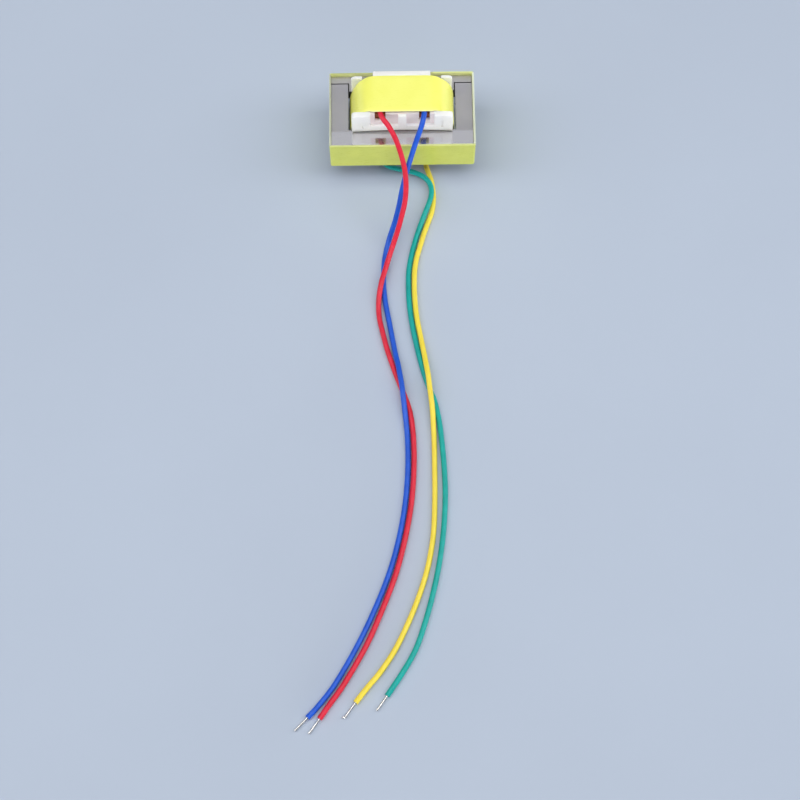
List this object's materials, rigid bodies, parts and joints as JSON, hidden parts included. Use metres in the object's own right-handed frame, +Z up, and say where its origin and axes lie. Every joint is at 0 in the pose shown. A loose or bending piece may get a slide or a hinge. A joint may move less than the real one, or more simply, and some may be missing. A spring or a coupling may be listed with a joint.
{
  "type": "microphone transformer",
  "caption": "Small audio transformer with a laminated steel core, a taped coil on a moulded bobbin, a tape band round the core and stripped flying leads.",
  "frame": {"origin": "bottom centre of the body, on the flat underside of the taped coil", "axes": "+X along the core's width, +Y along the coil's axis away from the side the leads leave, +Z up through the stack"},
  "size_m": [0.031, 0.1111, 0.0172],
  "materials": {
    "core_steel": "cold-rolled sheet, satin",
    "bobbin_plastic": "white moulded plastic, satin",
    "enamelled_copper": null,
    "insulating_film": "thin amber insulating film tape",
    "coil_tape": "yellow film tape, glossy",
    "core_tape": "yellow film tape, several wraps",
    "red_insulation": "soft red insulation",
    "blue_insulation": "soft blue insulation",
    "green_insulation": "soft green insulation",
    "yellow_insulation": "soft yellow insulation",
    "tinned_copper": "tinned stranded copper, bright"
  },
  "bodies": {
    "root": {"e_sheet_01": "core_steel", "e_sheet_02": "core_steel", "e_sheet_03": "core_steel", "e_sheet_04": "core_steel", "e_sheet_05": "core_steel", "e_sheet_06": "core_steel", "e_sheet_07": "core_steel", "e_sheet_08": "core_steel", "e_sheet_09": "core_steel", "e_sheet_10": "core_steel", "e_sheet_11": "core_steel", "e_sheet_12": "core_steel", "e_sheet_13": "core_steel", "e_sheet_14": "core_steel", "e_sheet_15": "core_steel", "bar_sheet_01": "core_steel", "bar_sheet_02": "core_steel", "bar_sheet_03": "core_steel", "bar_sheet_04": "core_steel", "bar_sheet_05": "core_steel", "bar_sheet_06": "core_steel", "bar_sheet_07": "core_steel", "bar_sheet_08": "core_steel", "bar_sheet_09": "core_steel", "bar_sheet_10": "core_steel", "bar_sheet_11": "core_steel", "bar_sheet_12": "core_steel", "bar_sheet_13": "core_steel", "bar_sheet_14": "core_steel", "bar_sheet_15": "core_steel", "bobbin": "bobbin_plastic", "primary_winding": "enamelled_copper", "interwinding_tape": "insulating_film", "secondary_winding": "enamelled_copper", "lead_bed_tape": "insulating_film", "coil_tape": "coil_tape", "core_tape": "core_tape", "red_lead": "red_insulation", "blue_lead": "blue_insulation", "green_lead": "green_insulation", "yellow_lead": "yellow_insulation", "red_tip": "tinned_copper", "blue_tip": "tinned_copper", "green_tip": "tinned_copper", "yellow_tip": "tinned_copper", "red_splice": "tinned_copper", "blue_splice": "tinned_copper", "green_splice": "tinned_copper", "yellow_splice": "tinned_copper"}
  },
  "joints": []
}
